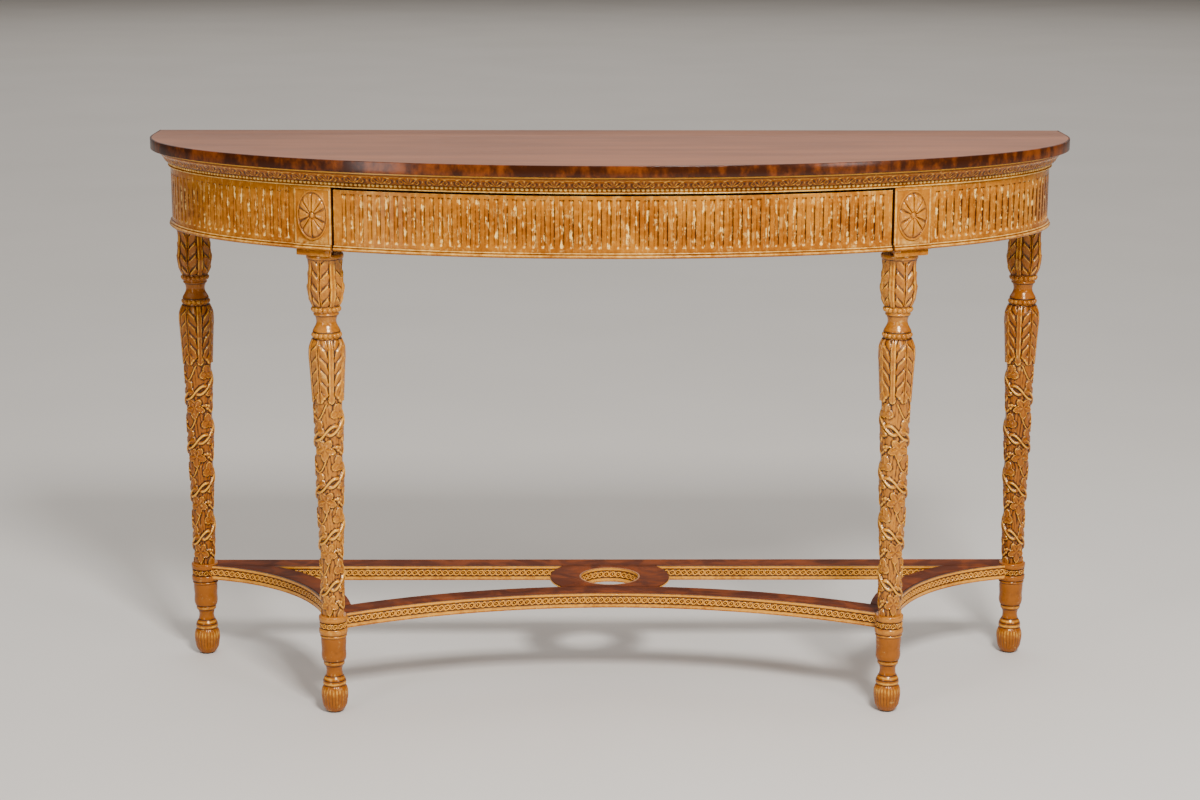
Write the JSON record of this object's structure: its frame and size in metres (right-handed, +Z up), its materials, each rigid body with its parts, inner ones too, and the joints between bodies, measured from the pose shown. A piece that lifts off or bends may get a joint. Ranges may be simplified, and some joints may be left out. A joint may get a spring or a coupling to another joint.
{
  "type": "demilune console table",
  "caption": "Half-oval console table with a veneered top, fluted apron with a bowed drawer, carved turned legs and a pierced curved stretcher.",
  "frame": {"origin": "on the floor under the middle of the table's box", "axes": "+X along the width, +Y towards the wall behind the straight back edge, +Z up"},
  "size_m": [1.53, 0.504, 0.914],
  "materials": {
    "top_veneer": "polished lacquer over reddish-brown veneer",
    "edge_veneer": "polished lacquer over mottled dark and orange-brown veneer",
    "gilt_wood": "satin honey-gold paint rubbed through to pale ground on the high points",
    "secondary_wood": "plain sanded wood",
    "stretcher_veneer": "polished lacquer over mottled red-brown veneer",
    "screw_steel": "zinc plated",
    "glide_plastic": "matte dark plastic"
  },
  "bodies": {
    "table": {"back_rail": "secondary_wood", "base_moulding_left": "gilt_wood", "base_moulding_right": "gilt_wood", "bead_string": "gilt_wood", "collar_front_left": "gilt_wood", "collar_front_right": "gilt_wood", "collar_rear_left": "gilt_wood", "collar_rear_right": "gilt_wood", "cornice_moulding": "gilt_wood", "drawer_kicker_left": "secondary_wood", "drawer_kicker_right": "secondary_wood", "drawer_runner_left": "secondary_wood", "drawer_runner_right": "secondary_wood", "drawer_stops": "secondary_wood", "floor_glides": "glide_plastic", "foot_dowels": "secondary_wood", "foot_front_left": "gilt_wood", "foot_front_right": "gilt_wood", "foot_rear_left": "gilt_wood", "foot_rear_right": "gilt_wood", "frieze_left": "gilt_wood", "frieze_right": "gilt_wood", "front_block_left": "gilt_wood", "front_block_right": "gilt_wood", "leg_dowels": "secondary_wood", "leg_front_left": "gilt_wood", "leg_front_right": "gilt_wood", "leg_rear_left": "gilt_wood", "leg_rear_right": "gilt_wood", "lower_drawer_rail": "secondary_wood", "patera_left": "gilt_wood", "patera_right": "gilt_wood", "plinth_front_left": "gilt_wood", "plinth_front_right": "gilt_wood", "plinth_rear_left": "gilt_wood", "plinth_rear_right": "gilt_wood", "rear_block_left": "secondary_wood", "rear_block_right": "secondary_wood", "ring_lining": "gilt_wood", "stretcher_back_rail": "stretcher_veneer", "stretcher_front_moulding": "gilt_wood", "stretcher_front_rail": "stretcher_veneer", "stretcher_ring": "stretcher_veneer", "stretcher_side_moulding_left": "gilt_wood", "stretcher_side_moulding_right": "gilt_wood", "stretcher_side_rail_left": "stretcher_veneer", "stretcher_side_rail_right": "stretcher_veneer", "stretcher_window_mouldings": "gilt_wood", "top_edge_band": "edge_veneer", "top_panel": "top_veneer", "top_screws": "screw_steel", "upper_drawer_rail": "secondary_wood"},
    "drawer": {"drawer_front": "gilt_wood", "drawer_base_moulding": "gilt_wood", "drawer_side_left": "secondary_wood", "drawer_side_right": "secondary_wood", "drawer_back": "secondary_wood", "drawer_bottom": "secondary_wood"}
  },
  "joints": [
    {"name": "drawer_slide", "type": "slide", "parent": "table", "child": "drawer", "axis": [0, -1, 0], "range_m": [0, 0.25]}
  ]
}
